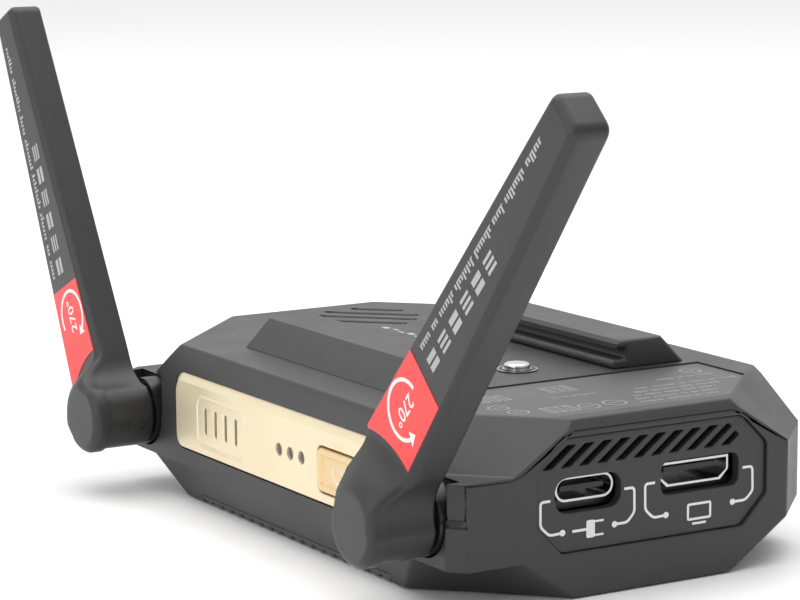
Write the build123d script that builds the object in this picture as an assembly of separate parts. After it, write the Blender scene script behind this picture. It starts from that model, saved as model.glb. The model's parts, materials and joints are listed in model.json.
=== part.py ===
from build123d import *
from math import cos, hypot, radians, sin, sqrt
import os

# A pocket-size wireless receiver with two folding antennas and a mount channel on its top face.
# Millimetres. X runs along the length and +X is the port end. -Y is the front, where the
# antennas fold. Z = 0 is the base face, and the origin lies at its middle.

# ---- Casing ----
LENGTH = 93.5            # over both end faces
FRONT_Y = -30.4          # plane of the front face
BACK_Y = 30.4            # plane of the back face
TOP_Z = 23.1             # top plane, and floor of the mount channel
WALL = 1.8
BAND_LOW, BAND_HIGH = 6.3, 16.7     # height of the upright band between the sloped facets
CORNER_REACH = 48.3      # distance of the upright corner faces from the centre, at 45 degrees
LID_UNDER_Z = 21.75
BEVEL = 0.8
BEVEL_Z = 21.8           # where the small bevel around the top plane starts
SEAM = [(-60, 11.4), (-28.5, 11.4), (-28.5, 16.4), (-22.0, 16.4), (-20.6, 16.8), (-12.7, 21.75),
        (12.7, 21.75), (21.6, 16.6), (60, 16.6)]      # y and z of the line where the shells meet
HALF = LENGTH / 2

# Facets around the casing: plan angle, then distance from the centre and height at the two ends.
UPRIGHT_FACETS = [(45, CORNER_REACH), (135, CORNER_REACH)]
SLOPED_FACETS = [(angle, CORNER_REACH, BAND_HIGH, 41.3, TOP_Z) for angle in (45, -45, 135, -135)]
SLOPED_FACETS += [(angle, 41.7, 0, CORNER_REACH, BAND_LOW) for angle in (45, -45, 135, -135)]
SLOPED_FACETS += [(angle, HALF, BEVEL_Z, HALF - BEVEL, TOP_Z) for angle in (0, 180)]
SLOPED_FACETS += [
    (-90, 28.1, 0, -FRONT_Y, 5.4), (90, 28.1, 0, BACK_Y, 5.4),
    (-90, -FRONT_Y, BEVEL_Z, -FRONT_Y - BEVEL / 2, TOP_Z), (90, BACK_Y, BEVEL_Z, BACK_Y - BEVEL, TOP_Z)]

# ---- Pivot housings at the two front corners ----
HOUSING_LOW, HOUSING_HIGH = 5.4, 16.7
HOUSING_INNER_X = 26.0
COLUMN_CHAMFER = 1.9
BAY_RADIUS = 5.2         # U-shaped bay, open upwards, that the pivot seat stands in
BAY_FLOOR_Y = -28.3

# ---- Antennas ----
PIVOT_X = 39.65
PIVOT_Z = 11.5
ARM_LENGTH = 67.0        # pivot to tip
ARM_BACK_Y = -31.3       # face next to the casing
ARM_FACE_Y = -36.5       # outer face of the blade
HUB_FACE_Y = -41.1
HUB_RADIUS = 5.3
SEAT_RADIUS = 4.9
BLADE_LEFT = -11.5       # long straight edge, across the blade from the pivot
BLADE_RIGHT_ROOT, BLADE_RIGHT_TIP = 1.55, -5.1
ARM_WALL = 1.2
NECK_ARC = (-5.3, 15.4)   # where the flat label face starts: middle along the arm, and radius
STICKER_TOP = 21.7
REST_ANGLES = {"left": 25.0, "right": -43.2}     # lean from upright, positive towards -X
PIVOTS = {"left": -PIVOT_X, "right": PIVOT_X}
SHAFT_RADIUS = 2.4
SHAFT_BORE = 1.0
FIT_GAP = 0.05           # radial gap of a turning or sliding fit
RUN_GAP = 0.35           # gap between faces that pass each other

# ---- Front plate, lights and button ----
PLATE = (-29.5, 29.5, 7.9, 19.3)       # x0, x1, z0, z1
PLATE_FACE_Y = -30.6
PLATE_SEAT_Y = -29.2
LEVEL_SLOT_X = [-19.9, -16.8, -13.7, -10.6]
LEVEL_SLOT = (0.8, 3.9, 13.2)          # width, height, centre height
STATUS_X = [2.0, 5.15, 8.3]
STATUS_RADIUS = 0.9
STATUS_Z = 13.2
BUTTON = (18.3, 12.7, 10.6, 5.9)        # centre x, centre z, width, height
BUTTON_FACE_Y = -30.85
BUTTON_TRAVEL = 0.5
BUTTON_BOARD = (-23.0, 25.0, 8.4, 18.4, -24.4, -23.4)

# ---- Mount rails, lock pin and label ----
RAIL_TOP = 27.0
RAIL_X = (-21.5, 21.5)
RAIL_FOOT_Y = 11.0       # half the clear width of the channel
RAIL_LIP_Y = 11.8
RAIL_RIDGE_Y = 19.4
RAIL_BASE_Y = 23.3
RAIL_SCREW_X = [-15.5, 0.0, 15.5]
RAIL_SCREW_Y = 16.5
PIN_X = 14.5
PIN_RADIUS = 1.83
PIN_TOP = 24.1
PIN_TRAVEL = 0.8
PIN_BODY_RADIUS = 2.05   # the part of the pin that slides in the collar
PIN_SHOULDER_Z = 23.35   # step between that part and the free end
COLLAR_RADIUS = 2.85
LABEL_POCKET_DEPTH = 0.4

# ---- Port end ----
PANEL_FACE_X = HALF - 0.5
PANEL_HALF_WIDTH = 18.2
PANEL_Z = (5.9, 20.8)
PANEL_CORNER = 4.0
PORT_Z = 13.9
USB_Y, USB_SIZE = -10.0, (8.94, 3.2)
HDMI_Y, HDMI_SIZE = 7.2, (11.2, 3.2)
USB_CUT = (-9.93, 13.3, 10.2, 4.6, 2.2)             # centre y, centre z, width, height, corner
HDMI_CUT = (7.65, 13.65, 12.5, 4.4, 1.3)
PORT_FACE_X = PANEL_FACE_X - 0.9                     # mouths of the two sockets
PORT_VENT_COUNT = 11
PORT_VENT_FIRST_Y, PORT_VENT_PITCH = -14.36, 2.79
PORT_VENT_SLANT, PORT_VENT_WIDTH = 53, 0.9          # lean from upright in degrees
PORT_VENT_FIELD = [(-17.2, 17.0), (13.4, 17.0), (14.2, 18.2), (11.6, 19.8), (-17.2, 19.8)]   # y, z

# ---- Boards and inner parts ----
BOARD_Z = (11.1, 12.3)
BOARD_POSTS = [(-31.5, -13.0), (-31.5, 17.5), (31.5, -13.0), (31.5, 17.5)]
CASE_POSTS = [(-23.5, -19.2), (23.5, -19.2), (-25.0, 24.5), (25.0, 24.5)]
GRIP_X = (-25.2, 28.3)
GRIP_COUNT = 18
GRIP_BACK_Y = -22.0
GRIP_THICK = 1.2


def block(x0, x1, y0, y1, z0, z1):
    return Pos((x0 + x1) / 2, (y0 + y1) / 2, (z0 + z1) / 2) * Box(x1 - x0, y1 - y0, z1 - z0)


def post(x, y, radius, z0, z1):
    return Pos(x, y, (z0 + z1) / 2) * Cylinder(radius, z1 - z0)


def spindle(x, z, radius, y0, y1):
    """A cylinder along Y."""
    return Pos(x, (y0 + y1) / 2, z) * Rot(90, 0, 0) * Cylinder(radius, y1 - y0)


def outline(points, plane, depth):
    """A closed polygon on a plane, extruded along the plane's normal."""
    return extrude(plane * Polygon(*points, align=None), depth, dir=plane.z_dir)


def rounded_block_y(x, z, width, height, radius, y0, y1):
    """A rounded rectangle seen from the front, extruded from y0 to y1."""
    face = Plane((x, y1, z), x_dir=(1, 0, 0), z_dir=(0, -1, 0)) * RectangleRounded(width, height, radius)
    return extrude(face, y1 - y0)


def beyond(angle, normal_r, normal_z, distance):
    """A large block that fills everything outside one facet plane."""
    a = radians(angle)
    normal = Vector(normal_r * cos(a), normal_r * sin(a), normal_z).normalized()
    side = Plane(origin=normal * distance, z_dir=normal)
    return side * Box(300, 300, 60, align=(Align.CENTER, Align.CENTER, Align.MIN))


def gem(inset=0.0, top=TOP_Z):
    """The faceted casing body, or its walls moved in by inset and its height ended at top."""
    solid = block(-HALF + inset, HALF - inset, FRONT_Y + inset, BACK_Y - inset, inset, top)
    for angle, reach in UPRIGHT_FACETS:
        solid -= beyond(angle, 1, 0, reach - inset)
    for angle, low_r, low_z, high_r, high_z in SLOPED_FACETS:
        run, rise = high_r - low_r, high_z - low_z
        size = hypot(run, rise)
        normal_r, normal_z = rise / size, -run / size
        solid -= beyond(angle, normal_r, normal_z, normal_r * low_r + normal_z * low_z - inset)
    return solid


def pivot_housing(side, inset=0.0):
    """The box at a front corner that carries one antenna pivot."""
    x_in, x_out = side * (HOUSING_INNER_X + inset), side * (HALF - inset)
    y_front = FRONT_Y + inset
    chamfer = COLUMN_CHAMFER
    corner = [(x_in, y_front), (x_out - side * chamfer, y_front), (x_out, y_front + chamfer),
              (x_out, -14), (x_in, -14)]
    low = Plane.XY.offset(HOUSING_LOW + inset)
    return outline(corner, low, HOUSING_HIGH - HOUSING_LOW - 2 * inset)


def label_pocket(depth, shrink=0.0):
    """The shallow pocket in the top face, ahead of the port end."""
    x0, x1, y1, cut_x = 23.0 + shrink, 43.8 - shrink, 24.4 - shrink, 33.6
    points = [(x0, -y1), (cut_x, -y1), (x1, -14.2), (x1, 14.2), (cut_x, y1), (x0, y1)]
    return outline(points, Plane.XY.offset(TOP_Z - LABEL_POCKET_DEPTH), depth)


def case_screw(x, y):
    return post(x, y, 2.0, 0.5, 1.7) + post(x, y, 1.0, 1.7, 9.0)


def top_vents():
    """Four diagonal slots over the heat sink."""
    vents = []
    for across, start, end in ((-33.9, -25.3, -16.9), (-30.2, -28.6, -13.5),
                               (-26.6, -28.7, -12.9), (-22.8, -26.6, -13.5)):
        middle = (start + end) / 2
        x, y = (middle + across) / sqrt(2), (middle - across) / sqrt(2)
        slot = Pos(x, y, TOP_Z) * Rot(0, 0, 45) * extrude(SlotOverall(end - start, 1.3), 6, both=True)
        vents.append(slot)
    return vents


def casing():
    """Both shells as one hollow body, with every opening cut."""
    body = gem() + pivot_housing(1) + pivot_housing(-1)
    body -= gem(WALL, LID_UNDER_Z) + pivot_housing(1, WALL) + pivot_housing(-1, WALL)
    for x in PIVOTS.values():
        body += spindle(x, PIVOT_Z, BAY_RADIUS, BAY_FLOOR_Y, BAY_FLOOR_Y + 2.4)
        body -= spindle(x, PIVOT_Z, BAY_RADIUS, FRONT_Y - 1, BAY_FLOOR_Y)
        body -= block(x - BAY_RADIUS, x + BAY_RADIUS, FRONT_Y - 1, BAY_FLOOR_Y, PIVOT_Z, HOUSING_HIGH + 1)
        body -= spindle(x, PIVOT_Z, SHAFT_RADIUS + 1.2, FRONT_Y, BAY_FLOOR_Y + 3)
    x0, x1, z0, z1 = PLATE
    body -= rounded_block_y((x0 + x1) / 2, (z0 + z1) / 2, x1 - x0, z1 - z0, 2.5, FRONT_Y - 1, PLATE_SEAT_Y)
    body -= block(-22, 24.6, PLATE_SEAT_Y - 1, FRONT_Y + WALL + 2, 9.2, 18.0)
    return body - port_panel_outline(HALF - 3, HALF + 1)


def below_seam():
    """Everything under the line where the shells meet, as one long bar."""
    points = [(-60, -5)] + SEAM + [(60, -5)]
    return outline(points, Plane((-60, 0, 0), x_dir=(0, 1, 0), z_dir=(1, 0, 0)), 120)


def bottom_shell():
    body = casing() & below_seam()
    for x, y in BOARD_POSTS:
        body += post(x, y, 2.6, WALL, BOARD_Z[0])
        body -= post(x, y, 1.0, 5.0, BOARD_Z[0])
    for x, y in CASE_POSTS:
        body += post(x, y, 3.2, WALL, 3.8)
        body -= post(x, y, 2.0, -1, 1.7)
        body -= post(x, y, 1.0, 1.7, 3.8)
    return body - grip_strip_block()


def top_shell():
    lid = casing() - below_seam() - label_pocket(2)
    for slot in top_vents():
        lid -= slot
    for x, y in CASE_POSTS:
        lid += post(x, y, 2.6, 3.8, LID_UNDER_Z)
        lid -= post(x, y, 1.0, 3.8, 9.0)
    for side in (1, -1):
        for x in RAIL_SCREW_X:
            lid -= post(x, side * RAIL_SCREW_Y, 1.0, TOP_Z - 3, TOP_Z)
    return lid - post(PIN_X, 0, COLLAR_RADIUS, TOP_Z - 3, TOP_Z)


def port_panel_outline(x0, x1):
    half, (z0, z1), cut = PANEL_HALF_WIDTH, PANEL_Z, PANEL_CORNER
    points = [(half, z0 + cut), (half, z1 - cut), (half - cut, z1), (cut - half, z1),
              (-half, z1 - cut), (-half, z0 + cut), (cut - half, z0), (half - cut, z0)]
    return outline(points, Plane((x0, 0, 0), x_dir=(0, 1, 0), z_dir=(1, 0, 0)), x1 - x0)


def rounded_block_x(y, z, width, height, radius, x0, x1):
    face = Plane((x0, y, z), x_dir=(0, 1, 0), z_dir=(1, 0, 0)) * RectangleRounded(width, height, radius)
    return extrude(face, x1 - x0)


def port_panel():
    panel = port_panel_outline(PANEL_FACE_X - 1.5, PANEL_FACE_X)
    field = outline(PORT_VENT_FIELD, Plane((40, 0, 0), x_dir=(0, 1, 0), z_dir=(1, 0, 0)), 10)
    middle = (PORT_VENT_FIELD[0][1] + PORT_VENT_FIELD[-1][1]) / 2
    for i in range(PORT_VENT_COUNT):
        place = Pos(PANEL_FACE_X, PORT_VENT_FIRST_Y + PORT_VENT_PITCH * i, middle)
        panel -= place * Rot(-PORT_VENT_SLANT, 0, 0) * Box(6, PORT_VENT_WIDTH, 9) & field
    return panel - rounded_block_x(*USB_CUT, 42, 50) - rounded_block_x(*HDMI_CUT, 42, 50)


def usb_shell():
    width, height = USB_SIZE
    tube = rounded_block_x(USB_Y, PORT_Z, width, height, height / 2 - 0.01, 38.9, PORT_FACE_X)
    return tube - rounded_block_x(USB_Y, PORT_Z, width - 0.6, height - 0.6, height / 2 - 0.31, 39.6, 50)


def usb_tongue():
    return rounded_block_x(USB_Y, PORT_Z, 6.7, 0.7, 0.3, 39.6, PORT_FACE_X - 0.6)


def hdmi_profile(shrink, x0, x1):
    """The stepped-in lower corners of a small video socket."""
    w, h = HDMI_SIZE[0] / 2 - shrink, HDMI_SIZE[1] / 2 - shrink
    points = [(HDMI_Y - w, PORT_Z + h), (HDMI_Y - w, PORT_Z - 0.3), (HDMI_Y - w + 1.3, PORT_Z - h),
              (HDMI_Y + w - 1.3, PORT_Z - h), (HDMI_Y + w, PORT_Z - 0.3), (HDMI_Y + w, PORT_Z + h)]
    return outline(points, Plane((x0, 0, 0), x_dir=(0, 1, 0), z_dir=(1, 0, 0)), x1 - x0)


def hdmi_shell():
    return hdmi_profile(0, 38.7, PORT_FACE_X) - hdmi_profile(0.3, 39.4, 50)


def hdmi_tongue():
    return block(39.4, PORT_FACE_X - 0.8, HDMI_Y - 4.2, HDMI_Y + 4.2, PORT_Z + 0.1, PORT_Z + 0.8)


def front_plate():
    x0, x1, z0, z1 = PLATE
    plate = rounded_block_y((x0 + x1) / 2, (z0 + z1) / 2, x1 - x0 - 0.2, z1 - z0 - 0.2, 2.4,
                            PLATE_FACE_Y, PLATE_SEAT_Y)
    rim = plate.faces().sort_by(Axis.Y)[0].edges()
    plate = chamfer(rim, 0.35)
    width, height, z = LEVEL_SLOT
    for x in LEVEL_SLOT_X:
        plate -= rounded_block_y(x, z, width, height, width / 2 - 0.01, PLATE_FACE_Y - 1, PLATE_SEAT_Y + 1)
    for x in STATUS_X:
        plate -= spindle(x, STATUS_Z, STATUS_RADIUS, PLATE_FACE_Y - 1, PLATE_SEAT_Y + 1)
    x, z, width, height = BUTTON
    plate -= rounded_block_y(x, z, width + 0.6, height + 0.6, 1.3, PLATE_FACE_Y - 1, PLATE_SEAT_Y + 1)
    return plate


def level_light_guide():
    """One clear piece with four bars that stand in the plate's upright slots."""
    width, height, z = LEVEL_SLOT
    guide = block(LEVEL_SLOT_X[0] - 1, LEVEL_SLOT_X[-1] + 1, PLATE_SEAT_Y, PLATE_SEAT_Y + 2.4, z - 3, z + 3)
    for x in LEVEL_SLOT_X:
        guide += rounded_block_y(x, z, width - 0.04, height - 0.04, width / 2 - 0.05,
                                 PLATE_FACE_Y + 0.35, PLATE_SEAT_Y)
    return guide


def status_light_pipes():
    pipes = []
    for x in STATUS_X:
        pipe = spindle(x, STATUS_Z, STATUS_RADIUS - 0.03, PLATE_FACE_Y + 0.45, PLATE_SEAT_Y)
        pipes.append(pipe + spindle(x, STATUS_Z, 1.25, PLATE_SEAT_Y, PLATE_SEAT_Y + 2.4))
    return Compound(pipes)


def power_button():
    x, z, width, height = BUTTON
    cap = rounded_block_y(x, z, width, height, 1.0, BUTTON_FACE_Y, PLATE_SEAT_Y + BUTTON_TRAVEL + 0.1)
    cap = chamfer(cap.faces().sort_by(Axis.Y)[0].edges(), 0.3)
    flange_y = PLATE_SEAT_Y + 0.05
    flange = block(x - width / 2 - 0.1, x + width / 2 + 0.1, flange_y, flange_y + 0.8,
                   z - height / 2 - 0.35, z + height / 2 + 0.35)
    stem = block(x - 1.5, x + 1.5, flange_y + 0.8, -27.2, z - 1.5, z + 1.5)
    return cap + flange + stem


def button_board():
    x0, x1, z0, z1, y0, y1 = BUTTON_BOARD
    return block(x0, x1, y0, y1, z0, z1)


def tact_switch():
    x, z = BUTTON[0], BUTTON[1]
    return block(x - 2.6, x + 2.6, -25.6, BUTTON_BOARD[4], z - 2.6, z + 2.6) + spindle(
        x, z, 1.2, -26.5, -25.6)


def status_leds():
    x0, x1, z0, z1, y0, y1 = BUTTON_BOARD
    places = [(x, LEVEL_SLOT[2]) for x in LEVEL_SLOT_X] + [(x, STATUS_Z) for x in STATUS_X]
    return Compound([block(x - 0.8, x + 0.8, y0 - 0.8, y0, z - 0.5, z + 0.5) for x, z in places])


def mount_rail(side):
    foot, lip, ridge, base = RAIL_FOOT_Y, RAIL_LIP_Y, RAIL_RIDGE_Y, RAIL_BASE_Y
    points = [(side * y, z) for y, z in (
        (foot, TOP_Z), (foot, TOP_Z + 1.25), (foot + 2.2, TOP_Z + 1.25), (foot + 2.2, TOP_Z + 2.75),
        (lip, TOP_Z + 2.75), (lip, RAIL_TOP - 0.5), (lip + 0.5, RAIL_TOP), (ridge, RAIL_TOP),
        (base, TOP_Z))]
    plane = Plane((RAIL_X[0], 0, 0), x_dir=(0, 1, 0), z_dir=(1, 0, 0))
    rail = outline(points, plane, RAIL_X[1] - RAIL_X[0])
    for x in RAIL_SCREW_X:
        rail -= post(x, side * RAIL_SCREW_Y, 0.9, TOP_Z - 0.1, TOP_Z + 2.4)
    return rail


def rail_screws():
    screws = []
    for side in (1, -1):
        for x in RAIL_SCREW_X:
            y = side * RAIL_SCREW_Y
            screws.append(post(x, y, 1.7, LID_UNDER_Z - 1.1, LID_UNDER_Z)
                          + post(x, y, 0.9, LID_UNDER_Z, TOP_Z + 2.3))
    return Compound(screws)


def lock_pin():
    pin = post(PIN_X, 0, PIN_RADIUS, PIN_SHOULDER_Z, PIN_TOP)
    pin = fillet(pin.faces().sort_by(Axis.Z)[-1].edges(), 0.4)
    pin += post(PIN_X, 0, PIN_BODY_RADIUS, 19.3, PIN_SHOULDER_Z) + post(PIN_X, 0, 2.6, 19.3, 20.2)
    return pin + post(PIN_X, 0, 1.2, 14.2, 19.3)


def pin_collar():
    collar = post(PIN_X, 0, COLLAR_RADIUS, 20.9, TOP_Z + 0.15)
    return collar - post(PIN_X, 0, PIN_BODY_RADIUS + FIT_GAP, 20, 25)


def pin_spring_cup():
    cup = post(PIN_X, 0, 4.2, 14.6, LID_UNDER_Z)
    cup -= post(PIN_X, 0, 3.0, 15.4, 20.9)
    cup -= post(PIN_X, 0, COLLAR_RADIUS, 20.8, TOP_Z)
    return cup - post(PIN_X, 0, 1.2 + FIT_GAP, 14, 16)


def lock_pin_spring():
    coil = Helix(pitch=0.9, height=3.4, radius=2.1)
    wire = Plane(coil @ 0, z_dir=coil % 0) * Circle(0.2)
    return Pos(PIN_X, 0, 15.65) * sweep(wire, path=coil)


def info_label():
    return label_pocket(0.2, 0.15)


def main_board():
    z0, z1 = BOARD_Z
    points = [(-38, -16), (44.2, -16), (44.2, 16), (39, 21), (-33, 21), (-38, 16)]
    board = outline(points, Plane.XY.offset(z0), z1 - z0)
    for x, y in BOARD_POSTS:
        board -= post(x, y, 1.0, z0 - 1, z1 + 1)
    return board


def board_screws():
    return Compound([post(x, y, 1.0, 6.0, BOARD_Z[1]) + post(x, y, 1.9, BOARD_Z[1], BOARD_Z[1] + 1.3)
                     for x, y in BOARD_POSTS])


def case_screws():
    return Compound([case_screw(x, y) for x, y in CASE_POSTS])


def radio_shield():
    can = block(-25, -7, -12, 12, BOARD_Z[1], BOARD_Z[1] + 2.6)
    return can - block(-24.7, -7.3, -11.7, 11.7, BOARD_Z[1], BOARD_Z[1] + 2.3)


def radio_chip():
    return block(-20, -12, -4, 4, BOARD_Z[1], BOARD_Z[1] + 1.1)


def heat_sink():
    base_z = BOARD_Z[1] + 2.6
    sink = block(-33, -7, -10, 14, base_z, base_z + 1.4)
    for i in range(9):
        x = -32.5 + 3.05 * i
        sink += block(x, x + 0.8, -10, 14, base_z + 1.4, 19.6)
    return sink


def video_chip():
    return block(8, 20, 2, 14, BOARD_Z[1], BOARD_Z[1] + 1.2)


def battery_pack():
    pack = block(-27, 27, -15, 21, 2.4, 9.4)
    return fillet(pack.edges().filter_by(Axis.Z), 2.0)


def battery_pads():
    return Compound([block(x - 5, x + 5, -12, 18, WALL, 2.4) for x in (-15, 15)])


def grip_strip_block():
    return block(*GRIP_X, FRONT_Y - 1, GRIP_BACK_Y, -1, GRIP_THICK)


def grip_strip():
    """A strip with rounded ribs across it, trimmed to the sloped lower front face."""
    pitch = (GRIP_X[1] - GRIP_X[0]) / GRIP_COUNT
    rise = 0.55
    line = Polyline((GRIP_X[1], rise), (GRIP_X[1], GRIP_THICK), (GRIP_X[0], GRIP_THICK), (GRIP_X[0], rise))
    lobes = []
    for i in range(GRIP_COUNT):
        x = GRIP_X[0] + pitch * i
        lobes.append(ThreePointArc((x, rise), (x + pitch / 2, 0), (x + pitch, rise)))
    face = make_face([line] + lobes)
    end = Plane((0, GRIP_BACK_Y, 0), x_dir=(1, 0, 0), z_dir=(0, -1, 0))
    strip = extrude(end * face, 14, dir=end.z_dir)
    return strip & gem()


def in_arm_frame(side, shape):
    """Turns a shape drawn pointing straight up at the pivot into the antenna's rest place."""
    turned = Rot(0, -REST_ANGLES[side], 0) * shape
    return Pos(PIVOTS[side], 0, PIVOT_Z) * turned


def blade_right(s):
    return BLADE_RIGHT_ROOT + (BLADE_RIGHT_TIP - BLADE_RIGHT_ROOT) * s / ARM_LENGTH


def blade_points(inset, start):
    """Outline of the blade: s runs from the pivot to the tip, q runs across it."""
    tip = ARM_LENGTH - inset
    left = BLADE_LEFT + inset
    return [(left, start), (left, tip - 1.2), (left + 1.2, tip), (blade_right(tip) - inset - 1.4, tip),
            (blade_right(tip - 2.4) - inset, tip - 2.4), (blade_right(start) - inset, start)]


def blade_solid(points, y_front, y_back):
    plane = Plane((0, y_back, 0), x_dir=(1, 0, 0), z_dir=(0, -1, 0))
    return outline(points, plane, y_back - y_front)


def shoulder_points():
    """The straight edge runs down beside the pivot, then cuts back to the hub."""
    return [(BLADE_LEFT, 6.4), (BLADE_LEFT + 2.0, 3.4), (-3.6, -3.9), (3.6, -3.9),
            (5.2, 1.0), (blade_right(12), 12), (BLADE_LEFT, 12)]


def arm_outer():
    blade = blade_solid(blade_points(0, 5), ARM_FACE_Y, ARM_BACK_Y)
    blade += blade_solid(shoulder_points(), ARM_FACE_Y, ARM_BACK_Y)
    return blade + spindle(0, 0, HUB_RADIUS, HUB_FACE_Y, ARM_BACK_Y)


def arm_cavity():
    """The hollow behind the outer face, closed by the back cover."""
    deep = ARM_FACE_Y + ARM_WALL
    return blade_solid(blade_points(ARM_WALL, 9), deep, ARM_BACK_Y + 1)


def antenna_arm():
    arm = arm_outer() - arm_cavity()
    arm -= spindle(0, 0, SHAFT_RADIUS, ARM_BACK_Y - 6, ARM_BACK_Y + 1)
    arm -= spindle(0, 0, 0.9, ARM_BACK_Y - 4, ARM_BACK_Y - 3)
    return arm


def antenna_back_cover():
    return blade_solid(blade_points(ARM_WALL, 9), ARM_BACK_Y - 1.0, ARM_BACK_Y)


def antenna_element():
    """The strip radiator inside the blade."""
    return blade_solid([(-9.4, 14), (-9.4, 62), (-7.0, 62), (-3.2, 14)], ARM_BACK_Y - 2.2, ARM_BACK_Y - 1.6)


def antenna_element_clip():
    return Compound([block(-9.0, -6.0, ARM_BACK_Y - 1.6, ARM_BACK_Y - 1.0, s, s + 3) for s in (20, 50)])


def antenna_sticker():
    """Its lower edge follows the round neck of the arm."""
    middle, radius = NECK_ARC
    lower = [(radius * cos(radians(a)), middle + radius * sin(radians(a))) for a in range(92, 131, 3)]
    points = [(blade_right(STICKER_TOP) - 0.9, STICKER_TOP), (BLADE_LEFT + 0.9, STICKER_TOP),
              (BLADE_LEFT + 0.9, 6.6)] + lower[::-1]
    return blade_solid(points, ARM_FACE_Y - 0.12, ARM_FACE_Y)


def pivot_shaft():
    shaft = spindle(0, 0, SHAFT_RADIUS, ARM_BACK_Y - 6, -23.4)
    shaft -= spindle(0, 0, SHAFT_BORE, ARM_BACK_Y - 5, -23)
    return shaft - (spindle(0, 0, 3, -24.6, -24.0) - spindle(0, 0, 1.9, -25, -23.5))


def pivot_clip():
    """The retaining ring in the groove at the inner end of the shaft."""
    ring = spindle(0, 0, 3.6, -24.6, -24.0) - spindle(0, 0, 1.9, -25, -23.5)
    return ring - block(-1.0, 1.0, -25, -23, -5, 0)


def pivot_washer():
    return spindle(0, 0, 3.9, -25.4, -24.6) - spindle(0, 0, SHAFT_RADIUS, -26, -24)


def pivot_seat(x):
    """The fixed round seat that the antenna turns against."""
    seat = spindle(x, PIVOT_Z, SEAT_RADIUS, ARM_BACK_Y + RUN_GAP, BAY_FLOOR_Y)
    seat += spindle(x, PIVOT_Z, SHAFT_RADIUS + 1.2, BAY_FLOOR_Y, -25.8)
    return seat - spindle(x, PIVOT_Z, SHAFT_RADIUS + FIT_GAP, -32, -25)


def coax_lead(side):
    """The aerial lead, from its board socket to just inside the hollow shaft."""
    s = 1 if side == "right" else -1
    points = [(s * 35.5, -14.0, 13.0), (s * 35.5, -17.4, 13.0), (s * PIVOT_X, -19.8, PIVOT_Z),
              (s * PIVOT_X, -23.8, PIVOT_Z)]
    path = FilletPolyline(*points, radius=[2.0, 2.0])
    profile = Plane(path @ 0, z_dir=path % 0) * Circle(0.6)
    return sweep(profile, path=path)


def coax_socket(side):
    s = 1 if side == "right" else -1
    return block(s * 35.5 - 1.4, s * 35.5 + 1.4, -14.0, -11.2, BOARD_Z[1], BOARD_Z[1] + 1.4)


def save(name, shape):
    shape.label = name
    export_step(shape, f"parts/{name}.step")


def main():
    os.makedirs("parts", exist_ok=True)
    plain = [bottom_shell, top_shell, port_panel, usb_shell, usb_tongue, hdmi_shell, hdmi_tongue,
             front_plate, level_light_guide, status_light_pipes, power_button, button_board, tact_switch,
             status_leds, rail_screws, lock_pin, pin_collar, pin_spring_cup, lock_pin_spring, info_label,
             main_board, board_screws, case_screws, radio_shield, radio_chip, heat_sink, video_chip,
             battery_pack, battery_pads, grip_strip]
    for make in plain:
        save(make.__name__, make())
    save("mount_rail_front", mount_rail(-1))
    save("mount_rail_rear", mount_rail(1))
    turning = {"arm": antenna_arm, "back_cover": antenna_back_cover, "element": antenna_element,
               "element_clips": antenna_element_clip, "sticker": antenna_sticker, "shaft": pivot_shaft,
               "retaining_ring": pivot_clip, "friction_washer": pivot_washer}
    for side, x in PIVOTS.items():
        for name, make in turning.items():
            save(f"antenna_{side}_{name}", in_arm_frame(side, make()))
        save(f"pivot_seat_{side}", pivot_seat(x))
        save(f"coax_lead_{side}", coax_lead(side))
        save(f"coax_socket_{side}", coax_socket(side))


main()
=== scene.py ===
# %% [markdown]
# # A pocket wireless receiver with two folding antennas
# The frame below is the measured model of the real product: every part has its true size and
# place. Our job in Blender is only the looks. We load that frame first. Nothing we add may
# change the size of the object.

# %% Load the measured frame
import json
import random
from math import cos, degrees, hypot, pi, radians, sin

import bmesh
import bpy
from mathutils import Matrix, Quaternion, Vector
from mathutils.geometry import delaunay_2d_cdt


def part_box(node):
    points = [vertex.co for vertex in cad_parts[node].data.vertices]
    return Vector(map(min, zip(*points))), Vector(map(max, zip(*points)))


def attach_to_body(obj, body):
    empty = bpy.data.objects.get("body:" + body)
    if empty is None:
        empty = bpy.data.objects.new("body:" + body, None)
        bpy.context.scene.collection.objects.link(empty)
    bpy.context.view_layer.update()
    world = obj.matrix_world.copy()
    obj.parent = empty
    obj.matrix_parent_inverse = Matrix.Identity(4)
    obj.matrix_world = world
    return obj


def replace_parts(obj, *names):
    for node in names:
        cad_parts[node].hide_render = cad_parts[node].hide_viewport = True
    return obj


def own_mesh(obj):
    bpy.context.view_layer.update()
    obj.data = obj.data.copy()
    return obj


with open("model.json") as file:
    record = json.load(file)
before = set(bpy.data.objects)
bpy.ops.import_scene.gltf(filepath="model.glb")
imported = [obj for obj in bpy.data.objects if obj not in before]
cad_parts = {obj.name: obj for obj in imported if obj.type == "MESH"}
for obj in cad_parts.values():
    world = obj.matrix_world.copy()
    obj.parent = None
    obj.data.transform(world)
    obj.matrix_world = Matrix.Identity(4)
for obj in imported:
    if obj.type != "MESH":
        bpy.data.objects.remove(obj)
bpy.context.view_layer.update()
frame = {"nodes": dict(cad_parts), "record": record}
nodes = frame["nodes"]
MM = 0.001

# %% [markdown]
# The record of the frame tells where each antenna pivots. We read the places from there, so
# that a change of the product moves our pieces with it. The lean of each antenna at rest, in
# degrees, is a choice of how the product was set down, so it is a value of our own.

# %% Places that several pieces share
joints = {joint["name"]: joint for joint in frame["record"]["behaviour"]["joints"]}
SIDES = ("left", "right")
LEAN = {"left": 25.0, "right": -43.2}


def pivot(side):
    return Vector(joints["antenna_" + side + "_fold"]["pos_m"])


def box_mm(node):
    low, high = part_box(node)
    return [c / MM for c in low], [c / MM for c in high]


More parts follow.
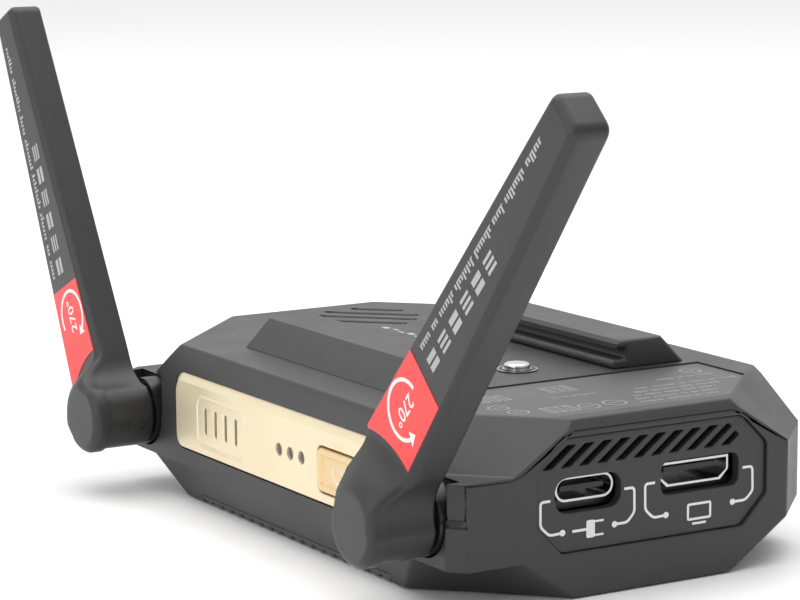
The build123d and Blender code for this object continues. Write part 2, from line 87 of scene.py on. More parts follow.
plate_low, plate_high = box_mm("front_plate")
panel_low, panel_high = box_mm("port_panel")
arm_low, _ = box_mm("antenna_left_arm")
TOP_Z = box_mm("top_shell")[1][2]
LABEL_Z = box_mm("info_label")[1][2]
print("plate", plate_low, plate_high, "panel", panel_low, panel_high)

# %% [markdown]
# ## Materials
# Every finish here is made of nodes, so it needs no picture files. A real plastic moulding has
# two scales of detail: the spark texture of the mould, which is a very fine bump, and a slow
# change of gloss where hands have touched it. Both come from noise. These small helpers add one
# node each, so that a finish can be put together in a few lines.

# %% Helpers for nodes
def new_material(name):
    material = bpy.data.materials.new(name)
    material.use_nodes = True
    tree = material.node_tree
    shader = tree.nodes["Principled BSDF"]
    return material, tree, shader


def add_node(tree, kind, **values):
    node = tree.nodes.new(kind)
    for key, value in values.items():
        if key in node.inputs:
            node.inputs[key].default_value = value
        else:
            setattr(node, key, value)
    return node


def noise(tree, scale, detail=4.0, roughness=0.55):
    place = add_node(tree, "ShaderNodeTexCoord")
    texture = add_node(tree, "ShaderNodeTexNoise", Scale=scale, Detail=detail, Roughness=roughness)
    tree.links.new(place.outputs["Object"], texture.inputs["Vector"])
    return texture


def ramp(tree, source, low, high, low_value, high_value):
    spread = add_node(tree, "ShaderNodeMapRange")
    spread.inputs["From Min"].default_value = low
    spread.inputs["From Max"].default_value = high
    spread.inputs["To Min"].default_value = low_value
    spread.inputs["To Max"].default_value = high_value
    tree.links.new(source, spread.inputs["Value"])
    return spread.outputs["Result"]


def tint_by(tree, source, dark, light):
    mix = add_node(tree, "ShaderNodeMix", data_type="RGBA")
    mix.inputs["A"].default_value = (*dark, 1)
    mix.inputs["B"].default_value = (*light, 1)
    tree.links.new(source, mix.inputs["Factor"])
    return mix.outputs["Result"]


def bump_from(tree, source, strength, distance, shader):
    bump = add_node(tree, "ShaderNodeBump", Strength=strength, Distance=distance)
    tree.links.new(source, bump.inputs["Height"])
    tree.links.new(bump.outputs["Normal"], shader.inputs["Normal"])
    return bump


print("node helpers: noise, ramp, tint and bump")

# %% [markdown]
# One function makes the bump and the patches for all plastics and metals, and the differences
# are only numbers. Constants go straight onto the shader's own sockets.

# %% The grained finish
def grained(name, dark, light, rough, grain=5200, bump=0.18, depth=0.00006, metallic=0.0):
    """A finish with a fine bump all over and slow patches of tone and gloss."""
    material, tree, shader = new_material(name)
    grain_noise = noise(tree, grain, 2.0)
    patch_noise = noise(tree, 90, 5.0)
    patch = ramp(tree, patch_noise.outputs["Fac"], 0.35, 0.65, 0.0, 1.0)
    tree.links.new(tint_by(tree, patch, dark, light), shader.inputs["Base Color"])
    tree.links.new(ramp(tree, patch_noise.outputs["Fac"], 0.3, 0.7, rough - 0.05, rough + 0.06),
                   shader.inputs["Roughness"])
    shader.inputs["Metallic"].default_value = metallic
    bump_from(tree, grain_noise.outputs["Fac"], bump, depth, shader)
    return material


def grey(level, tint=0.0):
    """A grey colour. The tint makes it a little cooler."""
    return (level, level, level + tint)


print("a cool dark grey:", grey(0.026, 0.001))

# %% [markdown]
# The casing is a dark grey moulding with a fine spark texture. The antennas are moulded from a
# smoother and darker plastic, so their broad faces catch the light as soft bands.

# %% Plastics, rubber and paint
CASING = grained("casing_plastic", grey(0.026, 0.001), grey(0.031, 0.001), 0.46, bump=0.30)
ANTENNA = grained("antenna_plastic", grey(0.019, 0.0005), grey(0.022, 0.0005), 0.42, grain=6500, bump=0.16)
BLACK = grained("pivot_plastic", grey(0.010), grey(0.013), 0.38, grain=6500, bump=0.10)
RUBBER = grained("grip_rubber", grey(0.052), grey(0.060), 0.62, grain=3800, bump=0.30)
LABEL = grained("label_film", grey(0.072, 0.001), grey(0.078, 0.001), 0.50, grain=7000, bump=0.05)
CHIP = grained("chip_package", grey(0.018), grey(0.026), 0.5, grain=9000, bump=0.1)
CLIP = grained("clip_plastic", grey(0.03), grey(0.04), 0.5)
INK = grained("pad_print_white", grey(0.72), grey(0.78), 0.5, bump=0.05)
LABEL_INK = grained("label_print_grey", grey(0.20), grey(0.24), 0.5, bump=0.05)
SOFT_INK = grained("pad_print_grey", grey(0.36), grey(0.40), 0.5, bump=0.05)
WRAP = grained("battery_wrap", (0.03, 0.08, 0.22), (0.04, 0.10, 0.26), 0.25, grain=2000, bump=0.05)
STICKER = grained("sticker_red", (0.84, 0.050, 0.048), (0.88, 0.056, 0.053), 0.46, bump=0.04)
print("plastics ready")

# %% [markdown]
# The front plate is anodised aluminium. Anodising keeps the fine blasted grain of the metal, so
# its highlights spread out. A high metallic value with a warm colour and a medium roughness
# gives that. The steel of the pin is turned on a lathe, which leaves fine rings.

# %% Metals
CHAMPAGNE = grained("anodised_champagne", (0.78, 0.68, 0.47), (0.82, 0.72, 0.51), 0.40,
                    grain=9000, bump=0.12, depth=0.00003, metallic=0.55)
STEEL = grained("turned_steel", grey(0.62), grey(0.70), 0.24, grain=1800, bump=0.06, metallic=1.0)
PLATED = grained("plated_sheet", grey(0.50), grey(0.58), 0.22, grain=3000, bump=0.04, metallic=1.0)
ZINC = grained("zinc_screw", grey(0.40), grey(0.48), 0.32, grain=2500, bump=0.08, metallic=1.0)
BRASS = grained("radiator_brass", (0.60, 0.44, 0.18), (0.68, 0.50, 0.22), 0.3, metallic=1.0)
ALUMINIUM = grained("heat_sink_aluminium", grey(0.62), grey(0.70), 0.38, metallic=1.0)
BOARD = grained("solder_mask", (0.006, 0.009, 0.008), (0.010, 0.014, 0.012), 0.35, grain=700)
BUTTON_GOLD = grained("anodised_button", (0.74, 0.55, 0.30), (0.79, 0.60, 0.34), 0.36, grain=9000,
                      bump=0.10, depth=0.00003, metallic=0.5)
print("metals ready")

# %% [markdown]
# The small lights sit behind clear plastic. Some of the light goes through it and some is
# scattered, so the shader gets a part of transmission and a slightly uneven gloss.

# %% Clear plastic
def clear_plastic(name, colour):
    material, tree, shader = new_material(name)
    cloud = noise(tree, 400, 3.0)
    shader.inputs["Base Color"].default_value = (*colour, 1)
    shader.inputs["Transmission Weight"].default_value = 0.35
    shader.inputs["IOR"].default_value = 1.5
    tree.links.new(ramp(tree, cloud.outputs["Fac"], 0.3, 0.7, 0.18, 0.32), shader.inputs["Roughness"])
    return material


GUIDE = clear_plastic("light_guide", grey(0.16, 0.01))
LED = clear_plastic("led_lens", (0.8, 0.8, 0.74))
print("clear parts ready")

# %% [markdown]
# ## Dress the carried-over parts
# Most inner parts already have the right shape, so they keep it and only get their finish. A
# short table of finish and part names does this in one loop.

# %% Give every carried-over part its finish
FINISHES = {
    CASING: ["bottom_shell", "top_shell", "port_panel", "mount_rail_front", "mount_rail_rear"],
    # The pin collar takes the black finish as painted shade, for the shade that lies on it inside its bright
    # rim.
    BLACK: ["pivot_seat_left", "pivot_seat_right", "usb_tongue", "hdmi_tongue", "coax_lead_left",
            "coax_lead_right", "pin_collar"],
    CHAMPAGNE: ["front_plate", "power_button"],
    GUIDE: ["level_light_guide", "status_light_pipes"],
    BOARD: ["main_board", "button_board"],
    CHIP: ["radio_chip", "video_chip", "tact_switch"],
    LED: ["status_leds"],
    PLATED: ["usb_shell", "hdmi_shell", "radio_shield", "coax_socket_left", "coax_socket_right"],
    STEEL: ["lock_pin", "lock_pin_spring"],
    ZINC: ["rail_screws", "board_screws", "case_screws"],
    LABEL: ["info_label"],
    ALUMINIUM: ["heat_sink"],
    WRAP: ["battery_pack"],
    CLIP: ["battery_pads", "pin_spring_cup"],
    RUBBER: ["grip_strip"],
    BRASS: [],
    STICKER: [],
    ANTENNA: [],
}
for side in SIDES:
    name = "antenna_" + side + "_"
    FINISHES[BLACK] += [name + "back_cover"]
    FINISHES[CLIP] += [name + "element_clips"]
    FINISHES[BRASS] += [name + "element"]
    FINISHES[STEEL] += [name + "shaft", name + "retaining_ring", name + "friction_washer"]
    FINISHES[STICKER] += [name + "sticker"]
    FINISHES[ANTENNA] += [name + "arm"]


def paint(obj, material):
    obj.data.materials.clear()
    obj.data.materials.append(material)


for material, names in FINISHES.items():
    for name in names:
        paint(nodes[name], material)
print("painted", sum(len(names) for names in FINISHES.values()), "parts")

# %% [markdown]
# ## Helpers for new pieces
# A new piece is a mesh made in code. It must ride on the body that it belongs to, so one helper
# gives it a finish and attaches it. Weighted normals let each broad face decide the shading of
# its own edge, so flat faces stay flat and only the small rounded edges bend the light.

# %% Make a mesh piece and attach it
def applied(obj):
    """Turns the object's modifiers into plain mesh."""
    bpy.context.view_layer.update()
    graph = bpy.context.evaluated_depsgraph_get()
    mesh = bpy.data.meshes.new_from_object(obj.evaluated_get(graph))
    obj.modifiers.clear()
    obj.data = mesh


def attach(obj, material, body):
    """Gives a piece its finish and the body that carries it."""
    paint(obj, material)
    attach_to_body(obj, body)
    return obj


def new_object(name, mesh):
    obj = bpy.data.objects.new(name, mesh)
    bpy.context.collection.objects.link(obj)
    return obj


def smooth_with_flat_faces(obj):
    obj.data.shade_smooth()
    weighted = obj.modifiers.new("weighted", "WEIGHTED_NORMAL")
    weighted.mode = "FACE_AREA"
    weighted.weight = 80
    weighted.keep_sharp = True
    applied(obj)


# %% [markdown]
# Nearly every new piece is a stack of rings with a cover at one end. A ring is the outline at one
# height. Joining each ring to the next gives the sides and the rounded edge, and the cover is a
# flat or curved face over the last one. One small class collects the points and the faces.

# %% Rings and covers
SAME_POINT = 0.0000005


class Shell:
    """Collects points in millimetres and the faces between them."""

    def __init__(self):
        self.points, self.faces = [], []

    def add(self, points):
        start = len(self.points)
        self.points += [Vector(p) for p in points]
        return list(range(start, len(self.points)))

    def skin(self, rings):
        """Joins each ring of points to the next one."""
        last = None
        for ring in rings:
            step = self.add(ring)
            for i in range(len(step) if last else 0):
                j = (i + 1) % len(step)
                self.faces.append((last[i], last[j], step[j], step[i]))
            last = step

    def cover(self, points, faces):
        """Adds faces that are given by the numbers of their own points."""
        new = self.add(points)
        self.faces += [tuple(new[i] for i in face) for face in faces]

    def build(self, name, material, body, smooth=True):
        mesh = bpy.data.meshes.new(name)
        mesh.from_pydata([p * MM for p in self.points], [], self.faces)
        work = bmesh.new()
        work.from_mesh(mesh)
        bmesh.ops.remove_doubles(work, verts=work.verts, dist=SAME_POINT)
        bmesh.ops.recalc_face_normals(work, faces=work.faces)
        work.to_mesh(mesh)
        work.free()
        obj = new_object(name, mesh)
        if smooth:
            smooth_with_flat_faces(obj)
        return attach(obj, material, body)


print("points closer than", SAME_POINT, "m become one")

# %% [markdown]
# Most outlines here are flat drawings: a plate with holes, a printed mark, a label. A flat
# outline is easier to think about than a solid, so we draw it as points first. Three small
# tools are enough: round the corners, move an outline inwards, and thicken a line to a strip.

# %% Flat outlines
def rounded(points, reach, steps=5):
    """The same outline with each corner eased over a distance of `reach`."""
    loop = []
    for i, point in enumerate(points):
        after_point = points[(i + 1) % len(points)]
        corner, before, after = (Vector(p) for p in (point, points[i - 1], after_point))
        start = corner + (before - corner) * min(reach / (before - corner).length, 0.499)
        end = corner + (after - corner) * min(reach / (after - corner).length, 0.499)
        for k in range(steps + 1):
            t = k / steps
            loop.append(start * (1 - t) ** 2 + corner * 2 * t * (1 - t) + end * t ** 2)
    return loop


def rectangle(u, v, width, height):
    w, h = width / 2, height / 2
    return [(u - w, v - h), (u + w, v - h), (u + w, v + h), (u - w, v + h)]


def circle(u, v, radius, steps=32, start=0.0):
    turn = 2 * pi / steps
    return [Vector((u + radius * cos(start + turn * k), v + radius * sin(start + turn * k)))
            for k in range(steps)]


def area(loop):
    """Positive when the outline runs anticlockwise."""
    return sum(a[0] * b[1] - a[1] * b[0] for a, b in zip(loop, list(loop[1:]) + [loop[0]])) / 2


def side_step(before, point, after):
    """Which way, and how far for a step of one, a corner moves when its two edges move left."""
    into, out = (point - before).normalized(), (after - point).normalized()
    along = (into + out).normalized()
    left = Vector((-along.y, along.x))
    return left / max(0.4, left.dot(Vector((-out.y, out.x))))


def inset(loop, distance):
    """Moves an outline inwards, by one distance or by one for each point."""
    loop = [Vector(p) for p in loop]
    if isinstance(distance, (int, float)):
        distance = [distance] * len(loop)
    sign = 1 if area(loop) > 0 else -1
    return [point + side_step(loop[i - 1], point, loop[(i + 1) % len(loop)]) * sign * distance[i]
            for i, point in enumerate(loop)]


print("a 2 mm disc has", round(area(circle(0, 0, 1.0)), 3), "square mm as an outline of 32 points")

# %% [markdown]
# A printed line is an open path drawn with a pen. Its outline runs along one side of the path
# and back along the other, and rounding the path first gives soft bends.

# %% Lines drawn with a pen
def strip(points, width):
    """A line drawn with a pen of this width, as an outline."""
    line = [Vector(p) for p in points]
    first = line[0] * 2 - line[1]
    last = line[-1] * 2 - line[-2]
    padded = [first] + line + [last]
    steps = [side_step(*padded[i:i + 3]) * width / 2 for i in range(len(line))]
    return [p + s for p, s in zip(line, steps)] + [p - s for p, s in zip(line, steps)][::-1]


def eased_line(points, reach, steps=4):
    """An open line with its inner corners rounded."""
    line = [Vector(points[0])]
    for i in range(1, len(points) - 1):
        before, corner, after = (Vector(p) for p in points[i - 1:i + 2])
        start = corner + (before - corner).normalized() * min(reach, (before - corner).length * 0.5)
        end = corner + (after - corner).normalized() * min(reach, (after - corner).length * 0.5)
        line += [start * (1 - k / steps) ** 2 + corner * 2 * k / steps * (1 - k / steps)
                 + end * (k / steps) ** 2 for k in range(steps + 1)]
    return line + [Vector(points[-1])]


print("a 10 mm line, 0.3 mm wide:", round(abs(area(strip([(0, 0), (10, 0)], 0.3))), 3), "square mm")

# %% [markdown]
# An outline with holes needs triangles. Blender has a function that connects any points and
# respects given edges. It also fills the holes, so we keep only the triangles whose middle lies
# in the outline and in no hole.

# %% Fill an outline
def is_inside(point, loop):
    x, y = point
    hit = False
    for (ax, ay), (bx, by) in zip(loop, list(loop[1:]) + [loop[0]]):
        if (ay > y) != (by > y) and x < (bx - ax) * (y - ay) / (by - ay) + ax:
            hit = not hit
    return hit


def filled(outer, holes=(), extra=()):
    """Triangles between an outline and its holes. Extra points give a curved face its detail."""
    points, edges = [], []
    for loop in [outer, *holes]:
        start = len(points)
        points += [Vector(p[:2]) for p in loop]
        edges += [(start + k, start + (k + 1) % len(loop)) for k in range(len(loop))]
    points += [Vector(p) for p in extra]
    flat, _, faces, *_ = delaunay_2d_cdt(points, edges, [], 0, 0.00001)
    kept = []
    for face in faces:
        middle = sum((flat[i] for i in face), Vector((0, 0))) / len(face)
        if is_inside(middle, outer) and not any(is_inside(middle, hole) for hole in holes):
            kept.append(face)
    return flat, kept


print("a square with a hole:", len(filled(rectangle(0, 0, 4, 4), [rectangle(0, 0, 2, 2)])[1]), "faces")

# %% [markdown]
# A plate is its outline at several depths. The outline shrinks a little as it comes up to the
# face, and that makes the rounded edge. Holes grow in the same way, so their edges are rounded
# too. Printed marks are plates a few hundredths of a millimetre thick.

# %% Plates and printed marks
def round_edge(radius, steps=4):
    """Pairs of inset and depth that follow a quarter circle, from the side up to the face."""
    return [(radius * (1 - cos(pi / 2 * k / steps)), radius * (1 - sin(pi / 2 * k / steps)))
            for k in range(steps + 1)]


def plate(name, place, outer, holes, edge, depth, material, body, hole_edge=None):
    """`place` turns a flat point and a height above the face into a point of the product."""
    shell = Shell()
    hole_edge = hole_edge or edge
    for loop, profile, sign in [(outer, edge, 1)] + [(hole, hole_edge, -1) for hole in holes]:
        shell.skin([[place(p[0], p[1], -depth) for p in loop]]
                   + [[place(p[0], p[1], -down) for p in inset(loop, sign * inset_by)]
                      for inset_by, down in profile])
    flat, faces = filled(inset(outer, edge[-1][0]), [inset(hole, -hole_edge[-1][0]) for hole in holes])
    shell.cover([place(p[0], p[1], 0) for p in flat], faces)
    return shell.build(name, material, body)


INK_FOOT, INK_STEP = 0.05, 0.003


def printed(name, place, loops, material, body, lift=0.03):
    """Flat marks, a little above the surface that they are printed on. Each mark lies a hair
    higher or lower than the next, so that marks that overlap don't share a plane."""
    shell = Shell()
    for number, loop in enumerate(loops):
        outer, holes = (loop[0], loop[1:]) if isinstance(loop, tuple) else (loop, [])
        flat, faces = filled([tuple(p[:2]) for p in outer], holes)
        high = lift + INK_STEP * (number % 4)
        shell.cover([place(p[0], p[1], high) for p in flat], faces)
        for edge in [outer, *holes]:
            shell.skin([[place(p[0], p[1], h) for p in edge] for h in (lift - INK_FOOT, high)])
    return shell.build(name, material, body, smooth=False)


print("a 0.3 mm rounded edge:", [(round(a, 2), round(b, 2)) for a, b in round_edge(0.3)])

# %% [markdown]
# Flat drawings have to land on the product. Three small functions say where a flat point goes,
# with u and v in the plane of the face and h above it: the front, the port end and the top.

# %% Places for flat drawings
def on_front(u, v, h):
    return Vector((u, plate_low[1] - h, v))


def on_end(u, v, h):
    return Vector((panel_high[0] + h, u, v))


def on_top(u, v, h):
    return Vector((u, v, TOP_Z + h))


print("front face at y =", round(plate_low[1], 2), "mm, top at z =", round(TOP_Z, 2), "mm")

# %% [markdown]
# ## Casing
# Moulded parts never have razor edges. We copy a part, merge its flat triangles back to whole
# faces, and choose the edges that the Bevel modifier may round: sharp corners between faces that
# are wide enough, and shallow folds between broad faces. Narrow steps and seams stay sharp, as
# their rounding would be wider than the step. Afterwards the flat faces are merged once more, so
# that no long thin triangle bends the shading.

# %% Choose the edges to round
FLAT_ANGLE, CORNER_ANGLE, FOLD_ANGLE, SHARP_ANGLE = 0.6, 22, 3, 40
BROAD_FACE = 2.5


def merge_flat(work):
    bmesh.ops.dissolve_limit(work, angle_limit=radians(FLAT_ANGLE), verts=work.verts, edges=work.edges)


def narrowest(edge):
    """Width in millimetres of the narrower face beside the edge."""
    return min(face.calc_area() / max(side.calc_length() for side in face.edges)
               for face in edge.link_faces) / MM


def wants_rounding(edge, clear):
    """True for a corner with room on both sides, and for a fold between broad faces."""
    turn, room = degrees(edge.calc_face_angle()), narrowest(edge)
    return (turn > CORNER_ANGLE and room > clear) or (turn > FOLD_ANGLE and room > BROAD_FACE)


print("corners from", CORNER_ANGLE, "degrees are rounded")

# %% [markdown]
# The shells get a small radius and the rails a larger one. The two upper rails guide a sliding
# plate, so a user's fingers and the plate both run along them, and their edges are softer.

# %% Rounded copies of the shells and rails
def chosen_edges(node, clear):
    """A copy of the part's mesh with a mark on each edge that is to be rounded."""
    mesh = nodes[node].data.copy()
    work = bmesh.new()
    work.from_mesh(mesh)
    bmesh.ops.remove_doubles(work, verts=work.verts, dist=4 * SAME_POINT)
    merge_flat(work)
    weight = work.edges.layers.float.new("bevel_weight_edge")
    for edge in work.edges:
        if len(edge.link_faces) == 2 and wants_rounding(edge, clear):
            edge[weight] = 1.0
    bmesh.ops.triangulate(work, faces=work.faces, ngon_method="BEAUTY")
    work.to_mesh(mesh)
    work.free()
    return mesh


def merge_and_mark_sharp(mesh):
    work = bmesh.new()
    work.from_mesh(mesh)
    merge_flat(work)
    for edge in work.edges:
        edge.smooth = len(edge.link_faces) != 2 or edge.calc_face_angle() < radians(SHARP_ANGLE)
    work.to_mesh(mesh)
    work.free()


def softened(node, width, clear):
    obj = new_object(node + "_rounded", chosen_edges(node, clear))
    bevel = obj.modifiers.new("round", "BEVEL")
    bevel.width = width * MM
    bevel.segments = 3
    bevel.limit_method = "WEIGHT"
    bevel.use_clamp_overlap = False
    applied(obj)
    merge_and_mark_sharp(obj.data)
    smooth_with_flat_faces(obj)
    attach(obj, CASING, "casing")
    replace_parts(obj, node)
    print(node, "rounded by", width, "mm:", len(obj.data.polygons), "faces")


for node in ("bottom_shell", "top_shell"):
    softened(node, width=0.3, clear=1.3)
for node in ("mount_rail_front", "mount_rail_rear"):
    softened(node, width=0.5, clear=0.8)

# %% [markdown]
# A small coil spring under the lock pin pushes it back up. When the pin is pressed, the coil has
# to get shorter while its foot stays put. A copy of the coil rides on the casing in place of the
# original part.

# %% Copy of the spring under the lock pin
def spring_piece():
    coil = new_object("lock_pin_coil", nodes["lock_pin_spring"].data.copy())
    attach(coil, STEEL, "casing")
    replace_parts(coil, "lock_pin_spring")
    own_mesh(coil)


spring_piece()

# %% [markdown]
# The rubber strip under the front edge is a row of soft ribs. Seen from the front, one rib is a
# shallow bow, so a single scalloped outline pushed along Y makes the whole strip. Its front
# leans like the casing above it: 2.3 mm over the 5.4 mm height of the lower face.

# %% Rubber grip strip
GRIP_RIBS, RIB_DEPTH, RIB_STEPS = 18, 0.8, 6
FRONT_LEAN = 2.3 / 5.4


def grip_strip_piece():
    (x0, y0, z0), (x1, y1, z1) = box_mm("grip_strip")
    pitch = (x1 - x0) / GRIP_RIBS
    outline = [(x1, z1), (x0, z1)]
    for k in range(GRIP_RIBS):
        middle = x0 + pitch * (k + 0.5)
        outline += [(middle + 0.49 * pitch * t / RIB_STEPS, z0 + RIB_DEPTH * (t / RIB_STEPS) ** 2)
                    for t in range(-RIB_STEPS, RIB_STEPS + 1)]

    def on_lower_front(u, v, h):
        return Vector((u, y0 + FRONT_LEAN * (z1 - v) - h, v))

    strip_piece = plate("grip_strip_ribbed", on_lower_front, outline, [], round_edge(0.15, 3), y1 - y0,
                        RUBBER, "casing")
    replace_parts(strip_piece, "grip_strip")
    print("grip strip:", GRIP_RIBS, "ribs,", round(pitch, 2), "mm apart")


grip_strip_piece()

# %% [markdown]
# ## Port panel
# The panel is a separate plate in the end of the casing, with two sockets and a row of slanted
# vents. The vents are one parallelogram repeated, and the last ones are cut by the corner of
# the panel. All of it is one flat drawing with holes, so the edges come out evenly rounded.

# %% Port panel with its vents
PANEL_CORNER = 4.0
VENT_COUNT, VENT_BOTTOM, VENT_TOP = 11, 17.0, 19.8
VENT_FIRST, VENT_PITCH, VENT_WIDTH, VENT_LEAN = -16.96, 2.79, 1.45, 3.72
VENT_LIMIT = 32.1
USB_MIDDLE, USB_HOLE = (-9.93, 13.3), (10.2, 4.6)
VIDEO_MIDDLE, VIDEO_HOLE = (7.65, 13.65), (12.5, 4.4)


def cut_corner(points, limit):
    """Keeps the part of an outline where u + v stays under a limit."""
    kept = []
    for a, b in zip(points, points[1:] + points[:1]):
        over_a, over_b = a[0] + a[1] - limit, b[0] + b[1] - limit
        if over_a <= 0:
            kept.append(a)
        if over_a * over_b < 0:
            t = over_a / (over_a - over_b)
            kept.append((a[0] + (b[0] - a[0]) * t, a[1] + (b[1] - a[1]) * t))
    return kept


def vent_outlines():
    vents = []
    for k in range(VENT_COUNT):
        u = VENT_FIRST + VENT_PITCH * k
        slot = [(u, VENT_BOTTOM), (u + VENT_WIDTH, VENT_BOTTOM),
                (u + VENT_WIDTH + VENT_LEAN, VENT_TOP), (u + VENT_LEAN, VENT_TOP)]
        vents.append(rounded(cut_corner(slot, VENT_LIMIT), 0.15, 2))
    return vents


def panel_outline():
    half, z0, z1, c = panel_high[1], panel_low[2], panel_high[2], PANEL_CORNER
    octagon = [(half, z0 + c), (half, z1 - c), (half - c, z1), (c - half, z1), (-half, z1 - c),
               (-half, z0 + c), (c - half, z0), (half - c, z0)]
    return rounded(octagon, 0.5, 3)


socket_holes = [rounded(rectangle(*USB_MIDDLE, *USB_HOLE), 2.2, 8),
                rounded(rectangle(*VIDEO_MIDDLE, *VIDEO_HOLE), 1.4, 6)]
panel = plate("port_panel_rounded", on_end, panel_outline(), socket_holes + vent_outlines(),
              round_edge(0.25), 1.4, CASING, "casing", hole_edge=round_edge(0.12, 3))
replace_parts(panel, "port_panel")
print("port panel:", len(panel.data.polygons), "faces")

# %% [markdown]
# White lines are printed around each socket, so that the eye finds the right one at once. The
# signs under them are generic: a plug under the first socket and a screen under the second.
# Each bracket is a short path of chosen points, drawn with a pen and ended with a dot.

# %% Marks printed on the port panel
LINE, THIN_LINE, DOT = 0.34, 0.26, 0.42


def socket_marks(*lines):
    """Bracket lines that each end in a dot."""
    loops = []
    for line in lines:
        loops += [strip(eased_line(line, 0.5), LINE), circle(*line[-1], DOT, 16)]
    return loops


usb_marks = socket_marks(
    [(-15.75, 12.95), (-17.25, 12.95), (-17.25, 9.75), (-15.9, 8.5), (-13.9, 8.6)],
    [(-4.4, 13.15), (-2.85, 13.15), (-2.8, 9.9), (-3.95, 8.7), (-5.9, 8.7)])
video_marks = socket_marks(
    [(0.4, 13.35), (-1.15, 13.35), (-1.1, 9.95), (0.2, 8.75), (2.2, 8.85)],
    [(14.5, 13.65), (16.1, 13.65), (16.2, 10.35), (15.0, 9.25), (12.9, 9.25)])
plug_sign = [strip([(-12.4, 8.6), (-10.2, 8.6)], LINE)]
plug_sign += [strip([(-9.0, v), (-7.6, v)], THIN_LINE) for v in (9.5, 7.7)]
plug_sign.append(rounded(rectangle(-9.6, 8.6, 1.3, 2.3), 0.3, 3))
screen = rounded(rectangle(7.5, 8.75, 3.9, 2.3), 0.35, 3)
screen_sign = [(screen, inset(screen, 0.32)), strip([(6.4, 7.15), (8.6, 7.15)], 0.3)]
marks = usb_marks + video_marks + plug_sign + screen_sign
printed("port_marks", on_end, marks, INK, "casing")
print("port marks:", len(marks))

# %% [markdown]
# The top of the casing carries an approval label. Real labels hold names and numbers, so this
# one is set in plain blocks: rows of words, and a few generic frames and rings where signs
# would be. A row is blocks of chance height, in groups like words, and each row has its own
# seed so that it comes out the same every time.

# %% Label print
WORD_ROWS = [(41.2, 1.8, 14.0), (39.3, 2.6, 14.2), (37.4, 3.6, 17.0), (35.5, 5.0, 19.0),
             (33.6, 6.4, 21.0), (30.2, 12.5, 20.5), (33.0, -6.5, 0.5)]
CODE_FRAMES = [(39.4, -9.7, 3.6, 4.6), (28.3, -2.6, 4.0, 4.2)]
RINGS = [(38.1, -15.2, 1.5), (34.6, -16.0, 1.5), (27.2, 20.0, 1.6), (39.6, -1.3, 1.7), (39.7, -5.4, 1.6)]
BLOCK, BLOCK_PITCH, WORD_GAP, FRAME_LINE = 0.34, 0.56, 0.55, 0.3


def on_label_film(u, v, h):
    return Vector((u, v, LABEL_Z + h))


def row_blocks(x, start, end, height, seed):
    """Blocks in the rhythm of words along Y."""
    pick = random.Random(seed)
    loops, y = [], start
    while y < end:
        for _ in range(pick.choice((2, 4, 5, 7))):
            loops.append(rectangle(x, y, height * pick.choice((0.65, 0.65, 1.0)), BLOCK))
            y += BLOCK_PITCH
        y += WORD_GAP
    return loops


rows, frames = [], []
for k, (x, start, end) in enumerate(WORD_ROWS):
    rows += row_blocks(x, start, end, 1.0, k)
for x, y, w, h in CODE_FRAMES:
    box = rectangle(x, y, w, h)
    frames.append((box, inset(box, FRAME_LINE)))
    frames += [rectangle(x + dx, y + dy, 0.5, 0.9) for dx in (-1.0, 0.0, 1.0) for dy in (-1.3, 0.0, 1.3)]
for x, y, r in RINGS:
    frames += [(circle(x, y, r, 28), circle(x, y, r - FRAME_LINE, 28)), rectangle(x, y, 0.35, r)]
for y in (-15.2, -13.6, -12.0):
    frames.append((rectangle(29.2, y, 3.6, 1.2), rectangle(29.2, y, 2.8, 0.5)))
printed("label_print", on_label_film, rows + frames, LABEL_INK, "casing", lift=0.02)
print("label blocks:", len(rows), "frames and rings:", len(frames))

# %% [markdown]
# A thin steel ring on the collar's rim round the lock pin paints the bright highlight of that rim, a short
# row of blocks stands by the top vents, and a black strip paints the shade of a shallow moulded crescent over
# the left antenna. All three are thin marks.

# %% Painted rim highlight and marks on the top
PIN_X, COLLAR_PROUD = 14.5, 0.16


def on_collar(u, v, h):
    return Vector((u, v, TOP_Z + COLLAR_PROUD + h))


# The ring is a painted highlight. It stands for the light along the collar's rim, not for a print.
ring = (circle(PIN_X, 0, 2.85, 48), circle(PIN_X, 0, 2.62, 48))
printed("lock_ring_highlight", on_collar, [ring], STEEL, "casing", lift=0.02)
patch = [rectangle(-24.0 + 2.2 * k, 1.9 + 0.4 * (k % 2), 1.5, 0.5 + 0.5 * (k % 3 == 0)) for k in range(5)]
printed("top_print", on_top, patch, SOFT_INK, "casing", lift=0.02)
# The black strip is painted shade: it stands for the shade in the shallow moulded crescent, which is not cut
# as a groove.
crescent = [(-34.6 + 2.2 * cos(a), -19.8 + 2.2 * sin(a)) for a in (0.9 + 0.12 * k for k in range(22))]
printed("top_dimple_shade", on_top, [strip(crescent, 0.35)], BLACK, "casing", lift=0.015)
print("marks on the top: 3")

# %% [markdown]
# ## Front plate
# The plate is blasted and anodised aluminium. Its upper edge has a wide slope that catches the
# light from above, while the other edges are nearly square. So the face is an outline of its
# own, and the rings run from the outer outline to it. The holes get a fine rounded edge.

# %% Front plate
SLOPE, SIDE_EDGE, PLATE_DEPTH, HOLE_EDGE = 1.25, 0.3, 1.3, 0.12
HOLE_Z, LEVEL_SLOTS, LIGHT_HOLES = 13.2, (-19.9, -16.8, -13.7, -10.6), (2.0, 5.15, 8.3)
BUTTON_X, BUTTON_Z = 18.3, 12.7


def plate_holes():
    holes = [rounded(rectangle(x, HOLE_Z, 0.8, 3.9), 0.4, 4) for x in LEVEL_SLOTS]
    holes += [circle(x, HOLE_Z, 0.9, 24) for x in LIGHT_HOLES]
    return holes + [rounded(rectangle(BUTTON_X, BUTTON_Z, 11.2, 6.5), 1.4, 6)]


